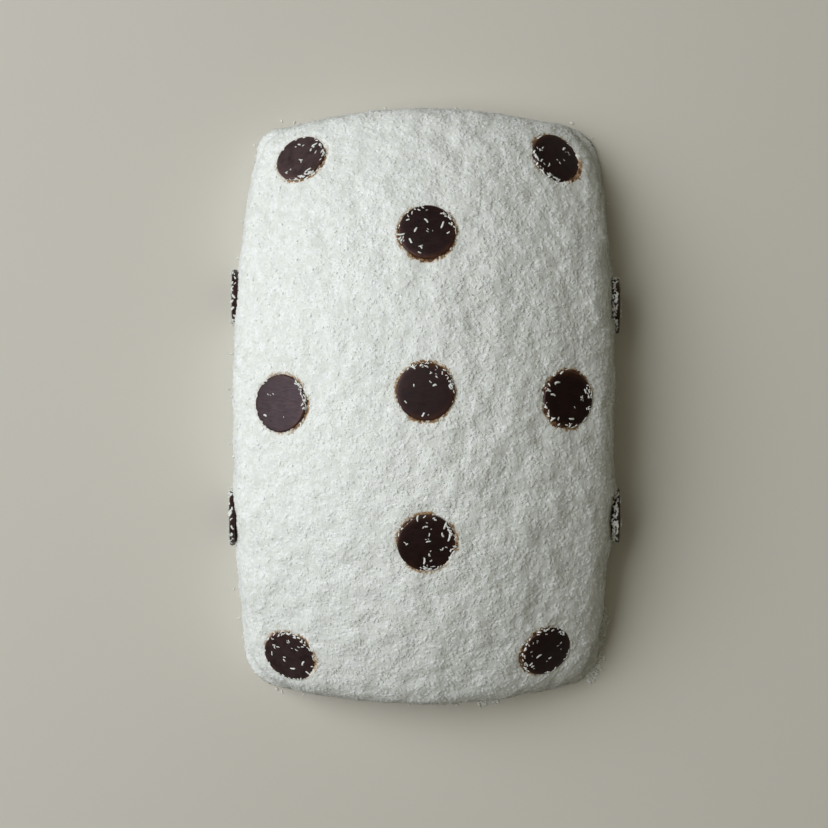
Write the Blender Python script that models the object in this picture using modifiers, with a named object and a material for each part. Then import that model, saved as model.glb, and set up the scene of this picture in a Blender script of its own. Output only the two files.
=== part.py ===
# Birthday cake: a domed rectangular cake in white cream and shredded coconut, with dark
# chocolate discs pressed into its top and its long sides.
# Metres, +Z up. The long sides run along Y and the cake stands on z = 0.

import bisect
import itertools
import math
import random

import bmesh
import bpy
from mathutils import Matrix, Vector, noise
from mathutils.bvhtree import BVHTree
from mathutils.geometry import area_tri

# Outline seen from above
HALF_WIDTH = 0.0960            # centre to a long side at mid length
HALF_LENGTH = 0.1519           # centre to an end at mid width
SIDE_BOW = 0.094               # share of the half width that a long side loses at its ends
END_BOW = 0.071                # share of the half length that an end loses at its corners
CORNER_RADIUS = {(-1, 1): 0.008, (1, 1): 0.016, (-1, -1): 0.013, (1, -1): 0.011}
CORNER_SPREAD = {(-1, 1): -0.0032, (1, 1): 0.0026, (-1, -1): 0.0026, (1, -1): 0.0010}

# Domed top and walls
CENTRE_HEIGHT = 0.0780
SIDE_FALL = 0.0330             # fall of the dome from the middle to a long side
SIDE_FALL_POWER = 2.0
END_FALL = 0.0432              # fall of the dome from the middle to an end
END_FALL_POWER = 2.5
SHOULDER = 0.0090              # radius where the top turns down into the wall
SHOULDER_STEPS = 3
WALL_DRAFT = 0.0025            # how far the wall leans out on its way down
WALL_ROWS = 6
FOOT_RADIUS = 0.0016
FOOT_TUCK = 0.0011
CORNER_LIP = 0.0024            # cream left bare and standing out at the foot of a corner
LIP_START = 0.80               # where a corner begins, as the product of both half shares
LIP_FULL = 0.95
LIP_FADE = (0.25, 0.75)        # shares of the way down the wall where the lip comes out
CORNER_SHARPNESS = 14          # how quickly the outward direction turns round a corner
CELL = 0.0070                  # spacing of the relief on the top

# Uneven cream and coconut
LUMP_SIZE = 0.0240
LUMP_HEIGHT = 0.0008
GRIT_SIZE = 0.0085
GRIT_HEIGHT = 0.0004
SEAT_BLEND = 0.0080            # the relief fades over this distance beside a disc

# Chocolate discs
SIDE_DISC_RADIUS = 0.0142
DISC_THICKNESS = 0.0032
DISC_EDGE = 0.0007
DISC_SIDES = 22
DISC_STANDS = 0.0007           # top disc's face above the cream under its middle
SIDE_DISC_STANDS = 0.0020
SIDE_DISC_TILT = math.radians(5)
DISC_SHARP = math.radians(50)
CLEARANCE = 0.0003
POCKET_ABOVE = 0.0060          # how far a pocket's cutter reaches above the disc

# Name: radius, centre across, centre along, extra lean across, extra lean along
TOP_DISCS = {
    "disc_top_left": (0.0131, -0.0621, 0.1253, 0.00, 0.04),
    "disc_top_right": (0.0137, 0.0673, 0.1255, 0.14, -0.06),
    "disc_upper_middle": (0.0140, 0.0016, 0.0849, 0.00, 0.00),
    "disc_left": (0.0143, -0.0704, 0.0014, 0.00, 0.03),
    "disc_centre": (0.0140, 0.0007, 0.0068, 0.00, 0.00),
    "disc_right": (0.0140, 0.0710, 0.0033, 0.00, -0.03),
    "disc_lower_middle": (0.0142, 0.0013, -0.0664, 0.06, -0.05),
    "disc_bottom_left": (0.0142, -0.0675, -0.1266, 0.07, -0.01),
    "disc_bottom_right": (0.0137, 0.0619, -0.1234, 0.07, 0.00),
}

# Name: side, centre along, centre height, dab of cream behind it
SIDE_DISCS = {
    "side_disc_upper_left": (-1, 0.0561, 0.0195, 0.0012),
    "side_disc_lower_left": (-1, -0.0571, 0.0195, 0.0016),
    "side_disc_upper_right": (1, 0.0518, 0.0195, 0.0028),
    "side_disc_lower_right": (1, -0.0559, 0.0195, 0.0032),
}
DAB_REACH = 0.0250
DAB_CORE = 0.0100              # the dab is full within this distance of the disc's middle
DAB_FACING = 0.9               # how squarely the coat must face across to carry a dab

# Coconut shreds fused to the coat, each one tapered and four-sided
SHRED_COUNT = 190
SHRED_LONGEST = 0.0046
SHRED_SHORTEST = 0.0030
SHRED_WIDTH = 0.30             # share of the length, at the thick end
SHRED_TAPER = 0.62
SHRED_SIDES = 4
SHRED_SEAT = 0.12              # share of the width by which its middle stands off the coat
SHRED_SPACING = 0.0150
SHRED_DISC_GAP = 0.0006
SHRED_LOWEST = 0.0045
SHRED_TILT = math.radians(16)
SHRED_TRIES = 60000
SEED = 26

CREAM_COLOUR = (0.80, 0.80, 0.77, 1.0)
CREAM_ROUGHNESS = 0.75
CREAM_SHARP = math.radians(40)
CHOCOLATE_COLOUR = (0.022, 0.013, 0.011, 1.0)
CHOCOLATE_ROUGHNESS = 0.38


def clear_scene():
    for item in list(bpy.data.objects):
        bpy.data.objects.remove(item, do_unlink=True)


def smooth_step(value, low, high):
    share = min(max((value - low) / (high - low), 0.0), 1.0)
    return share * share * (3.0 - 2.0 * share)


def sign_of(value):
    return 1 if value >= 0 else -1


def new_collection(name):
    collection = bpy.data.collections.new(name)
    bpy.context.scene.collection.children.link(collection)
    return collection


def new_object(name, mesh, collection):
    item = bpy.data.objects.new(name, mesh)
    collection.objects.link(item)
    return item


def new_material(name, colour, roughness):
    material = bpy.data.materials.new(name)
    material.use_nodes = True
    shader = material.node_tree.nodes["Principled BSDF"]
    shader.inputs["Base Color"].default_value = colour
    shader.inputs["Roughness"].default_value = roughness
    shader.inputs["Metallic"].default_value = 0.0
    return material


# Form of the cake

def dome_height(x, y):
    across = SIDE_FALL * (abs(x) / HALF_WIDTH) ** SIDE_FALL_POWER
    along = END_FALL * (abs(y) / HALF_LENGTH) ** END_FALL_POWER
    return CENTRE_HEIGHT - across - along


def dome_slope(x, y):
    """How steeply the dome falls away outwards, across and along."""
    across = SIDE_FALL * SIDE_FALL_POWER / HALF_WIDTH
    along = END_FALL * END_FALL_POWER / HALF_LENGTH
    across *= (abs(x) / HALF_WIDTH) ** (SIDE_FALL_POWER - 1)
    along *= (abs(y) / HALF_LENGTH) ** (END_FALL_POWER - 1)
    return sign_of(x) * across, sign_of(y) * along


def round_corner(x, y):
    """Bend the square corner of each grid loop to an arc about the corner's centre."""
    radius = CORNER_RADIUS[(sign_of(x), sign_of(y))]
    over_x = abs(x) - (HALF_WIDTH - radius)
    over_y = abs(y) - (HALF_LENGTH - radius)
    if over_x <= 0 or over_y <= 0:
        return x, y
    reach = max(over_x, over_y)
    if over_x >= over_y:
        angle = math.pi / 4 * over_y / over_x
    else:
        angle = math.pi / 2 - math.pi / 4 * over_x / over_y
    new_x = HALF_WIDTH - radius + reach * math.cos(angle)
    new_y = HALF_LENGTH - radius + reach * math.sin(angle)
    return sign_of(x) * new_x, sign_of(y) * new_y


def bow_outline(x, y):
    """Bow the four sides outwards and set each corner where it lies."""
    across = x / HALF_WIDTH
    along = y / HALF_LENGTH
    spread = CORNER_SPREAD[(sign_of(x), sign_of(y))] * along ** 2
    new_x = x * (1 - SIDE_BOW * along ** 2) + spread * across
    new_y = y * (1 - END_BOW * across ** 2)
    return new_x, new_y


def outward(x, y):
    """Direction out of the outline in plan, turning quickly round the corners."""
    across = sign_of(x) * abs(x / HALF_WIDTH) ** CORNER_SHARPNESS
    along = sign_of(y) * abs(y / HALF_LENGTH) ** CORNER_SHARPNESS
    return Vector((across, along, 0)).normalized()


def cornerness(x, y):
    return smooth_step(abs(x / HALF_WIDTH) * abs(y / HALF_LENGTH), LIP_START, LIP_FULL)


def dab_bulge(x, y, height):
    """Cream dabbed on a long side to hold a disc."""
    bulge = 0.0
    for side, along, up, depth in SIDE_DISCS.values():
        if side == sign_of(x):
            reach = math.hypot(y - along, height - up)
            bulge += depth * (1 - smooth_step(reach, DAB_CORE, DAB_REACH))
    return bulge


def place(x, y, level):
    """Point of the plain grid, with its rim extruded down by level rows, on the cake."""
    inset = min(HALF_WIDTH - abs(x), HALF_LENGTH - abs(y))
    curl = max(SHOULDER - inset, 0.0)
    drop = SHOULDER - math.sqrt(max(SHOULDER ** 2 - curl ** 2, 0.0))
    plan_x, plan_y = bow_outline(*round_corner(x, y))
    out = outward(x, y)
    lip = CORNER_LIP * cornerness(x, y)
    rim_height = dome_height(plan_x, plan_y) - drop
    if level == 0:
        pull = lip * curl / SHOULDER
        return Vector((plan_x, plan_y, rim_height)) - out * pull
    share = min(level / (WALL_ROWS - 1), 1.0)
    height = rim_height + (FOOT_RADIUS - rim_height) * share
    push = WALL_DRAFT * share - lip * (1 - smooth_step(share, *LIP_FADE))
    if level == WALL_ROWS:
        height = 0.0
        push -= FOOT_TUCK
    if abs(out.x) > DAB_FACING:
        push += dab_bulge(plan_x, plan_y, height)
    return Vector((plan_x, plan_y, height)) + out * push


def grid_stations(half):
    """Grid lines from edge to edge, closer together over the rounded shoulder."""
    steps = [math.pi / 2 * i / SHOULDER_STEPS for i in range(SHOULDER_STEPS)]
    edge = [half - SHOULDER * (1 - math.cos(step)) for step in steps]
    inner = half - SHOULDER
    cells = round(2 * inner / CELL)
    middle = [inner * (2 * i / cells - 1) for i in range(cells + 1)]
    return [-station for station in edge] + middle + edge[::-1]


def cake_blank():
    """Flat grid whose rim is extruded down in rows one unit apart and closed below."""
    columns = grid_stations(HALF_WIDTH)
    rows = grid_stations(HALF_LENGTH)
    blank = bmesh.new()
    bmesh.ops.create_grid(
        blank, x_segments=len(columns) - 1, y_segments=len(rows) - 1, size=1.0)
    for vert in blank.verts:
        column = round((vert.co.x + 1) / 2 * (len(columns) - 1))
        row = round((vert.co.y + 1) / 2 * (len(rows) - 1))
        vert.co = Vector((columns[column], rows[row], 0))
    rim = [edge for edge in blank.edges if edge.is_boundary]
    for _ in range(WALL_ROWS):
        grown = bmesh.ops.extrude_edge_only(blank, edges=rim)["geom"]
        verts = [item for item in grown if isinstance(item, bmesh.types.BMVert)]
        bmesh.ops.translate(blank, vec=(0, 0, -1), verts=verts)
        rim = [item for item in grown
               if isinstance(item, bmesh.types.BMEdge) and item.is_boundary]
    bmesh.ops.edgeloop_fill(blank, edges=rim)
    return blank


def disc_seats():
    """Middle and radius of every disc, for the relief and the shreds to keep clear of."""
    seats = []
    for name in list(TOP_DISCS) + list(SIDE_DISCS):
        seats.append((disc_frame(name).translation, disc_radius(name)))
    return seats


def relief(point, seats):
    """Lumps of the coat and the grit of its coconut, none of it under a disc."""
    lumps = LUMP_HEIGHT * noise.noise(point / LUMP_SIZE)
    grit = GRIT_HEIGHT * noise.noise(point / GRIT_SIZE)
    level = 1.0
    for middle, radius in seats:
        gap = (point - middle).length - radius
        level = min(level, smooth_step(gap, 0.0, SEAT_BLEND))
    return (lumps + grit) * level


def shape_cake(blank, seats):
    for vert in blank.verts:
        vert.co = place(vert.co.x, vert.co.y, round(-vert.co.z))
    bmesh.ops.recalc_face_normals(blank, faces=blank.faces)
    blank.normal_update()
    moves = {}
    for vert in blank.verts:
        if vert.co.z > FOOT_RADIUS / 2:
            moves[vert] = vert.normal * relief(vert.co, seats)
    for vert, move in moves.items():
        vert.co += move
    walls = [face for face in blank.faces if len(face.verts) == 4]
    bmesh.ops.triangulate(blank, faces=walls)


# Discs and their pockets

def disc_radius(name):
    return TOP_DISCS[name][0] if name in TOP_DISCS else SIDE_DISC_RADIUS


def frame_on(normal, point):
    """Matrix that stands local +Z on the surface at the point."""
    return Matrix.Translation(point) @ normal.to_track_quat("Z", "Y").to_matrix().to_4x4()


def disc_frame(name):
    """Place of a disc, with its outer face up along local +Z."""
    if name in TOP_DISCS:
        _, x, y, lean_x, lean_y = TOP_DISCS[name]
        across, along = dome_slope(x, y)
        normal = Vector((across + lean_x, along + lean_y, 1)).normalized()
        seat = Vector((x, y, dome_height(x, y)))
        return frame_on(normal, seat + normal * (DISC_STANDS - DISC_THICKNESS / 2))
    side, y, height, dab = SIDE_DISCS[name]
    plan_x, _ = bow_outline(side * HALF_WIDTH, y)
    rim_height = dome_height(plan_x, y) - SHOULDER
    share = 1 - (height - FOOT_RADIUS) / (rim_height - FOOT_RADIUS)
    wall = plan_x + side * (WALL_DRAFT * share + dab)
    normal = Vector((side * math.cos(SIDE_DISC_TILT), 0, math.sin(SIDE_DISC_TILT)))
    seat = Vector((wall, y, height))
    return frame_on(normal, seat + normal * (SIDE_DISC_STANDS - DISC_THICKNESS / 2))


def disc_mesh(name, radius, thickness):
    shape = bmesh.new()
    bmesh.ops.create_cone(
        shape, cap_ends=True, segments=DISC_SIDES, radius1=radius, radius2=radius,
        depth=thickness)
    mesh = bpy.data.meshes.new(name)
    shape.to_mesh(mesh)
    shape.free()
    return mesh


def add_disc(name, collection, material):
    mesh = disc_mesh(name, disc_radius(name), DISC_THICKNESS)
    disc = new_object(name, mesh, collection)
    disc.matrix_world = disc_frame(name)
    disc.data.materials.append(material)
    bevel = disc.modifiers.new("rounded edge", "BEVEL")
    bevel.width = DISC_EDGE
    bevel.segments = 1
    bevel.limit_method = "ANGLE"
    disc.data.shade_smooth()
    disc.data.set_sharp_from_angle(angle=DISC_SHARP)
    return disc


def add_pocket(name, collection):
    """Cutter that leaves the clearance round a disc and reaches well above the coat."""
    thickness = DISC_THICKNESS + CLEARANCE + POCKET_ABOVE
    mesh = disc_mesh("pocket_" + name, disc_radius(name) + CLEARANCE, thickness)
    pocket = new_object("pocket_" + name, mesh, collection)
    rise = Matrix.Translation((0, 0, (POCKET_ABOVE - CLEARANCE) / 2))
    pocket.matrix_world = disc_frame(name) @ rise
    pocket.hide_render = True
    pocket.display_type = "WIRE"
    return pocket


# Joining

def apply_boolean(item, collection, operation):
    """Cut or join a whole collection, apply the result and remove the collection."""
    modifier = item.modifiers.new(operation.lower(), "BOOLEAN")
    modifier.operation = operation
    modifier.operand_type = "COLLECTION"
    modifier.collection = collection
    modifier.solver = "EXACT"
    bpy.context.view_layer.update()
    graph = bpy.context.evaluated_depsgraph_get()
    result = bpy.data.meshes.new_from_object(item.evaluated_get(graph))
    item.modifiers.remove(modifier)
    old = item.data
    item.data = result
    bpy.data.meshes.remove(old)
    for used in list(collection.objects):
        bpy.data.objects.remove(used, do_unlink=True)
    bpy.data.collections.remove(collection)


# Coconut shreds

def shred_mesh():
    """One shred of unit length along local X, thick at one end."""
    shape = bmesh.new()
    bmesh.ops.create_cone(
        shape, cap_ends=True, segments=SHRED_SIDES, radius1=SHRED_WIDTH / 2,
        radius2=SHRED_WIDTH / 2 * SHRED_TAPER, depth=1.0,
        matrix=Matrix.Rotation(math.pi / 2, 4, "Y"))
    mesh = bpy.data.meshes.new("shred")
    shape.to_mesh(mesh)
    shape.free()
    return mesh


def random_face_point(faces, totals, rng):
    """Point on the triangles, as likely on each as its area."""
    a, b, c = faces[bisect.bisect_left(totals, rng.random() * totals[-1])]
    u = math.sqrt(rng.random())
    v = rng.random()
    return a * (1 - u) + b * (u * (1 - v)) + c * (u * v)


def clear_of_discs(point, length, seats):
    for middle, radius in seats:
        if (point - middle).length < radius + CLEARANCE + SHRED_DISC_GAP + length / 2:
            return False
    return True


def shred_points(mesh, seats, rng):
    """Evenly spread places for the shreds, off the discs, the foot and bare corners."""
    faces = []
    for face in mesh.polygons:
        corners = sorted(tuple(mesh.vertices[index].co) for index in face.vertices)
        if len(corners) == 3:
            faces.append(corners)
    faces.sort()
    faces = [[Vector(corner) for corner in corners] for corners in faces]
    totals = list(itertools.accumulate(area_tri(*corners) for corners in faces))
    chosen = []
    for _ in range(SHRED_TRIES):
        if len(chosen) == SHRED_COUNT:
            break
        point = random_face_point(faces, totals, rng)
        bare = cornerness(point.x, point.y) > 0 and point.z < SHOULDER
        if bare or point.z < SHRED_LOWEST:
            continue
        if not clear_of_discs(point, SHRED_LONGEST, seats):
            continue
        if all((point - other).length > SHRED_SPACING for other in chosen):
            chosen.append(point)
    return chosen


def add_shreds(coat, seats, collection):
    """Shreds lying on the coat, the longest first, each sunk to about half its width."""
    rng = random.Random(SEED)
    tree = BVHTree.FromPolygons(
        [vert.co.copy() for vert in coat.vertices],
        [tuple(face.vertices) for face in coat.polygons])
    mesh = shred_mesh()
    points = shred_points(coat, seats, rng)
    for index, point in enumerate(points):
        share = index / max(len(points) - 1, 1)
        length = SHRED_LONGEST + (SHRED_SHORTEST - SHRED_LONGEST) * share
        surface, normal, _, _ = tree.find_nearest(point)
        turn = Matrix.Rotation(rng.uniform(0, 2 * math.pi), 4, "Z")
        tilt = Matrix.Rotation(rng.uniform(-SHRED_TILT, SHRED_TILT), 4, "Y")
        roll = Matrix.Rotation(rng.uniform(0, math.pi / 2), 4, "X")
        size = Matrix.Diagonal((length, length, length, 1))
        seat = surface + normal * (length * SHRED_WIDTH * SHRED_SEAT)
        shred = new_object("shred_%03d" % index, mesh, collection)
        shred.matrix_world = frame_on(normal, seat) @ turn @ tilt @ roll @ size


# Assembly

def stand_on_centre(items):
    """Move every piece so that the whole stands centred on the origin."""
    bpy.context.view_layer.update()
    graph = bpy.context.evaluated_depsgraph_get()
    low = Vector((math.inf, math.inf))
    high = Vector((-math.inf, -math.inf))
    for item in items:
        mesh = item.evaluated_get(graph).to_mesh()
        for vert in mesh.vertices:
            spot = item.matrix_world @ vert.co
            low = Vector((min(low.x, spot.x), min(low.y, spot.y)))
            high = Vector((max(high.x, spot.x), max(high.y, spot.y)))
        item.evaluated_get(graph).to_mesh_clear()
    middle = (low + high) / 2
    for item in items:
        item.location.x -= middle.x
        item.location.y -= middle.y


def add_cake(collection, material):
    seats = disc_seats()
    blank = cake_blank()
    shape_cake(blank, seats)
    mesh = bpy.data.meshes.new("cake")
    blank.to_mesh(mesh)
    blank.free()
    cake = new_object("cake", mesh, collection)
    shreds = new_collection("shreds")
    add_shreds(mesh, seats, shreds)
    pockets = new_collection("pockets")
    for name in list(TOP_DISCS) + list(SIDE_DISCS):
        add_pocket(name, pockets)
    apply_boolean(cake, pockets, "DIFFERENCE")
    apply_boolean(cake, shreds, "UNION")
    cake.data.materials.clear()
    cake.data.materials.append(material)
    cake.data.shade_smooth()
    cake.data.set_sharp_from_angle(angle=CREAM_SHARP)
    return cake


def main():
    clear_scene()
    cream = new_material("coconut_cream", CREAM_COLOUR, CREAM_ROUGHNESS)
    chocolate = new_material("dark_chocolate", CHOCOLATE_COLOUR, CHOCOLATE_ROUGHNESS)
    collection = new_collection("birthday_cake")
    items = [add_cake(collection, cream)]
    for name in list(TOP_DISCS) + list(SIDE_DISCS):
        items.append(add_disc(name, collection, chocolate))
    stand_on_centre(items)


main()
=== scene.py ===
import math
import random

import bmesh
import bpy
import numpy as np
from mathutils import Matrix, Vector, noise
from mathutils.bvhtree import BVHTree


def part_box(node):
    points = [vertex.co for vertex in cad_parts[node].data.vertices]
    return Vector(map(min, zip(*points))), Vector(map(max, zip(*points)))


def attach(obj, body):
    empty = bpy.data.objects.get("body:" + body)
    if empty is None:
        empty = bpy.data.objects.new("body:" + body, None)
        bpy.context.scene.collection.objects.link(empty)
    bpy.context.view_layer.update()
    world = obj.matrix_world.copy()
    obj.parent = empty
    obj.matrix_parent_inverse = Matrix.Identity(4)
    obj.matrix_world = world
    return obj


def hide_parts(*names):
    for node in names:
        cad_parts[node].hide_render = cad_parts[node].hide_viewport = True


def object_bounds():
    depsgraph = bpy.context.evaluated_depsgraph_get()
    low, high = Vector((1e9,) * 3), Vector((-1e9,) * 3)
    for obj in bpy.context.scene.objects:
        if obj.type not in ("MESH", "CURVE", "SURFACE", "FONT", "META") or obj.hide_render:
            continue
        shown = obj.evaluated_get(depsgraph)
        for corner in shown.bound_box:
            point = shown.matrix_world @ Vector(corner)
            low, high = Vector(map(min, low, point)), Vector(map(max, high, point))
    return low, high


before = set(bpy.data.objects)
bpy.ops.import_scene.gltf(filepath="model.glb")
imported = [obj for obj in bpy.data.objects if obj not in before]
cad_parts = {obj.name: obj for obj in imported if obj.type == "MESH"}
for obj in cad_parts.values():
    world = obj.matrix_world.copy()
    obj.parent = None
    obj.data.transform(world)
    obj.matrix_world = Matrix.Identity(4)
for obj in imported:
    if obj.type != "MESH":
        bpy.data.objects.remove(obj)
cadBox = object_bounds()
scene = bpy.context.scene
topDiscs = [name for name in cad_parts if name.startswith("disc_")]
sideDiscs = [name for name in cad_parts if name.startswith("side_disc_")]
mergeGap = 0.00001              # points this near to each other are one


# Small helpers

def smoothStep(value, low, high):
    share = np.clip((value - low) / (high - low), 0, 1)
    return share * share * (3 - 2 * share)


def addObject(name, mesh):
    thing = bpy.data.objects.new(name, mesh)
    scene.collection.objects.link(thing)
    return thing


def meshFrom(shape, name):
    mesh = bpy.data.meshes.new(name)
    shape.to_mesh(mesh)
    shape.free()
    return mesh


# The object's modifiers become its plain mesh
def applyAll(thing):
    bpy.context.view_layer.update()
    graph = bpy.context.evaluated_depsgraph_get()
    mesh = bpy.data.meshes.new_from_object(thing.evaluated_get(graph))
    thing.modifiers.clear()
    old = thing.data
    thing.data = mesh
    bpy.data.meshes.remove(old)
    mesh.name = thing.name
    return mesh


def numbersOf(items, field, width=3, kind=float):
    values = np.empty(len(items) * width, kind)
    items.foreach_get(field, values)
    return values.reshape(-1, width) if width > 1 else values


def setPoints(mesh, points):
    mesh.vertices.foreach_set("co", points.ravel())
    mesh.update()


def storeValues(mesh, name, values):
    attribute = mesh.attributes.new(name, "FLOAT", "POINT")
    attribute.data.foreach_set("value", values)


def addNode(tree, kind, values=None, **settings):
    node = tree.nodes.new(kind)
    for key, value in settings.items():
        setattr(node, key, value)
    for key, value in (values or {}).items():
        node.inputs[key].default_value = value
    return node


def socketNamed(sockets, name, kind):
    for socket in sockets:
        if socket.name == name and socket.type == kind:
            return socket
    raise KeyError(name)


# Mixes two colours, each a plain one or another node's
def addMix(tree, factor, low, high):
    mix = addNode(tree, "ShaderNodeMix", data_type="RGBA")
    tree.links.new(factor, mix.inputs["Factor"])
    for name, colour in (("A", low), ("B", high)):
        socket = socketNamed(mix.inputs, name, "RGBA")
        if isinstance(colour, tuple):
            socket.default_value = colour
        else:
            tree.links.new(colour, socket)
    return socketNamed(mix.outputs, "Result", "RGBA")


# Noise on the piece's own coordinates
def addGrain(tree, scale, detail, roughness=0.5):
    place = addNode(tree, "ShaderNodeTexCoord")
    grain = addNode(tree, "ShaderNodeTexNoise", {
        "Scale": scale, "Detail": detail, "Roughness": roughness})
    tree.links.new(place.outputs["Object"], grain.inputs["Vector"])
    return grain


# Camera straight above the cake

view = {
    "aim": (-0.0055, -0.0035),  # point of the cake under the lens
    "height": 0.830,            # lens above the top of the cake
    "span": 0.3974,             # width of the picture at the height of the top
    "sensor": 36.0,
    "nearest": 0.01,            # what is nearer to the lens doesn't show
}


def addCamera():
    data = bpy.data.cameras.new("camera")
    data.sensor_width = view["sensor"]
    data.lens = view["sensor"] * view["height"] / view["span"]
    data.dof.use_dof = False
    data.clip_start = view["nearest"]
    camera = addObject("camera", data)
    camera.location = (*view["aim"], cadBox[1][2] + view["height"])
    scene.camera = camera


# Light from a wide window on the left, a dim room, and a pale floor

light = {
    "window": {
        "place": (-1.84, 0.54, 2.02), "size": (2.8, 2.6), "power": 79.5,
        "colour": (0.95, 0.985, 1.02)},
    "room": {
        "place": (0.0, 0.1, 1.7), "size": (1.6, 1.6), "power": 2.7,
        "colour": (1.0, 0.95, 0.80)},
    "air": (0.062, 0.058, 0.038, 1),
}
floor = {
    "half": 4.0, "colour": (0.63, 0.60, 0.53, 1), "roughness": (0.57, 0.63),
    "grainSize": 40.0, "gap": 0.0002}


def addLights():
    for name in ("window", "room"):
        settings = light[name]
        data = bpy.data.lights.new(name, "AREA")
        data.shape = "RECTANGLE"
        data.size, data.size_y = settings["size"]
        data.energy = settings["power"]
        data.color = settings["colour"]
        lamp = addObject(name, data)
        lamp.location = settings["place"]
        lamp.rotation_euler = (-lamp.location).to_track_quat("-Z", "Y").to_euler()
    world = bpy.data.worlds.new("air")
    world.use_nodes = True
    world.node_tree.nodes["Background"].inputs["Color"].default_value = light["air"]
    scene.world = world
    scene.view_settings.view_transform = "Standard"


def addFloor():
    shape = bmesh.new()
    bmesh.ops.create_grid(shape, x_segments=2, y_segments=2, size=floor["half"])
    bmesh.ops.translate(shape, verts=shape.verts, vec=(0, 0, -floor["gap"]))
    mesh = meshFrom(shape, "floor")
    material, tree, shader = newMaterial("paleFloor", {"Base Color": floor["colour"]})
    grain = addGrain(tree, floor["grainSize"], 3.0)
    tone = addNode(tree, "ShaderNodeMapRange", {
        "To Min": floor["roughness"][0], "To Max": floor["roughness"][1]})
    tree.links.new(grain.outputs["Fac"], tone.inputs["Value"])
    tree.links.new(tone.outputs["Result"], shader.inputs["Roughness"])
    mesh.materials.append(material)
    addObject("floor", mesh)


# Materials

creamLook = {
    "colour": (0.855, 0.87, 0.845, 1),
    "grains": ((0.35, (0.775, 0.79, 0.755, 1)), (0.58, (0.855, 0.87, 0.845, 1))),
    "roughness": 0.6,
    "shine": 0.35,
    "grainSize": 1100.0,
    "grainDepth": 0.00010,
}
coconutLook = {
    "colours": ((0.0, (0.27, 0.23, 0.23, 1)), (0.45, (0.79, 0.805, 0.76, 1)),
                (0.75, (0.88, 0.90, 0.875, 1)), (1.0, (0.94, 0.955, 0.945, 1))),
    "roughness": 0.55,
    "shine": 0.3,
}
patchLook = {"between": (0.34, 0.60), "least": 0.4}     # of the noise, of the mask
toneAndShadeLook = {                    # faint random patches, darker greenish and whiter: partly the coconut's own uneven tone, partly painted shade and light standing in for lumps
    "size": 230.0,
    "colours": ((0.36, (0.94, 0.948, 0.922, 1)), (0.62, (1.01, 1.005, 1.015, 1))),
}
stainLook = {
    "patches": 210.0,
    "colours": ((0.0, (0.78, 0.70, 0.56, 1)), (0.38, (0.40, 0.25, 0.125, 1)),
                (0.75, (0.085, 0.034, 0.015, 1))),
    "fullAt": 0.42,             # stain value that hides the white
}
chocolateLook = {
    "colours": ((0.35, (0.0085, 0.0040, 0.0032, 1)), (0.70, (0.020, 0.0078, 0.0064, 1))),
    "bloom": (0.062, 0.039, 0.040, 1),      # painted sheen: a pale purplish colour that stands in for the window's reflection on two discs on the left
    "edge": (0.085, 0.032, 0.012, 1),
    "shine": 0.4,
    "sheen": (1.0, 0.76, 0.86, 1),
    "roughness": (0.30, 0.48),
    "cloudSize": 240.0,
    "scratchSize": (260.0, 2100.0, 260.0),
    "scratchTurn": 0.9,
    "scratchDepth": 0.35,       # share of a pit's depth
    "pitSize": 420.0,
    "pitWidth": 0.18,
    "relief": 0.00005,
}


def newMaterial(name, values):
    material = bpy.data.materials.new(name)
    material.use_nodes = True
    shader = material.node_tree.nodes["Principled BSDF"]
    for key, value in values.items():
        shader.inputs[key].default_value = value
    return material, material.node_tree, shader


# A shader group with these inputs, the first of which it also puts out
def newGroup(name, kind, labels):
    group = bpy.data.node_groups.new(name, "ShaderNodeTree")
    for label in labels:
        group.interface.new_socket(label, in_out="INPUT", socket_type=kind)
    group.interface.new_socket(labels[0], in_out="OUTPUT", socket_type=kind)
    return group, addNode(group, "NodeGroupInput"), addNode(group, "NodeGroupOutput")


def addRamp(tree, factor, stops):
    node = addNode(tree, "ShaderNodeValToRGB")
    elements = node.color_ramp.elements
    while len(elements) < len(stops):
        elements.new(0.5)
    for element, (position, colour) in zip(elements, stops):
        element.position = position
        element.color = colour
    tree.links.new(factor, node.inputs["Fac"])
    return node.outputs["Color"]


# Breaks a smooth mask up into uneven patches
def makePatchGroup():
    group, entry, leave = newGroup("unevenPatches", "NodeSocketFloat", ("Mask", "Patch Size"))
    patches = addGrain(group, 1.0, 3.0, 0.6)
    spread = addNode(group, "ShaderNodeMapRange", {
        "From Min": patchLook["between"][0], "From Max": patchLook["between"][1],
        "To Min": patchLook["least"]})
    both = addNode(group, "ShaderNodeMath", operation="MULTIPLY")
    group.links.new(entry.outputs["Patch Size"], patches.inputs["Scale"])
    group.links.new(patches.outputs["Fac"], spread.inputs["Value"])
    group.links.new(spread.outputs["Result"], both.inputs[0])
    group.links.new(entry.outputs["Mask"], both.inputs[1])
    group.links.new(both.outputs[0], leave.inputs["Mask"])
    return group


# Lays the faint patches of tone, partly painted shade and light, over a colour
def makeToneAndShadeGroup():
    group, entry, leave = newGroup("coatTone", "NodeSocketColor", ("Color",))
    patches = addGrain(group, toneAndShadeLook["size"], 2.0, 0.55)
    colours = addRamp(group, patches.outputs["Fac"], toneAndShadeLook["colours"])
    both = addNode(group, "ShaderNodeVectorMath", operation="MULTIPLY")
    group.links.new(entry.outputs["Color"], both.inputs[0])
    group.links.new(colours, both.inputs[1])
    group.links.new(both.outputs["Vector"], leave.inputs["Color"])
    return group


# A mask of the piece, such as its cocoa, broken up into patches
def addPatches(tree, patchGroup, mask, size):
    values = addNode(tree, "ShaderNodeAttribute", attribute_name=mask)
    patches = addNode(tree, "ShaderNodeGroup", node_tree=patchGroup)
    patches.inputs["Patch Size"].default_value = size
    tree.links.new(values.outputs["Fac"], patches.inputs["Mask"])
    return patches.outputs["Mask"]
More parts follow.
